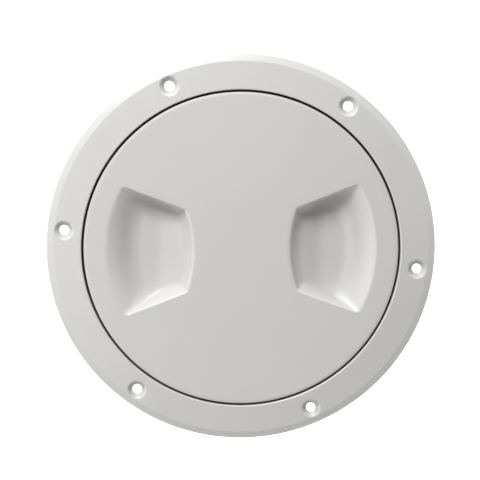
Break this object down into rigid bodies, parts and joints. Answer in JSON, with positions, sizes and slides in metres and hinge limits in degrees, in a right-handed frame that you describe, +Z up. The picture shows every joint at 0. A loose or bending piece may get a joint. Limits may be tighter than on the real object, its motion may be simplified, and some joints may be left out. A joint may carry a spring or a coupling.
{
  "type": "deck hatch",
  "caption": "Round screw-out deck hatch: flanged threaded ring with screw holes, flush lid with two finger pockets, O-ring in the lid's edge.",
  "frame": {"origin": "on the ring's axis, in the plane of the collar's foot, which is the part's lowest face; the deck's surface is 18 mm above it", "axes": "+Z up out of the deck along the screw's axis; +X towards one finger pocket when the lid is tight"},
  "size_m": [0.172, 0.172, 0.0245],
  "materials": {
    "ring_plastic": "glossy moulded ABS, pale grey-white",
    "lid_plastic": "glossy moulded ABS, pale grey-white",
    "seal_rubber": "black nitrile rubber"
  },
  "bodies": {
    "frame": {"frame_ring": "ring_plastic"},
    "seal": {"lid_seal": "seal_rubber"},
    "lid": {"lid": "lid_plastic"}
  },
  "joints": [
    {"name": "lid_lift", "type": "slide", "parent": "frame", "child": "seal", "axis": [0, 0, 1], "range_m": [0, 0.0241]},
    {"name": "lid_turn", "type": "hinge", "parent": "seal", "child": "lid", "pos_m": [0, 0, 0.0245], "axis": [0, 0, 1], "range_deg": [0, 1440]}
  ],
  "couplings": [
    {"joint": "lid_lift", "follows": "lid_turn", "m_per_rad": 0.00095493}
  ]
}
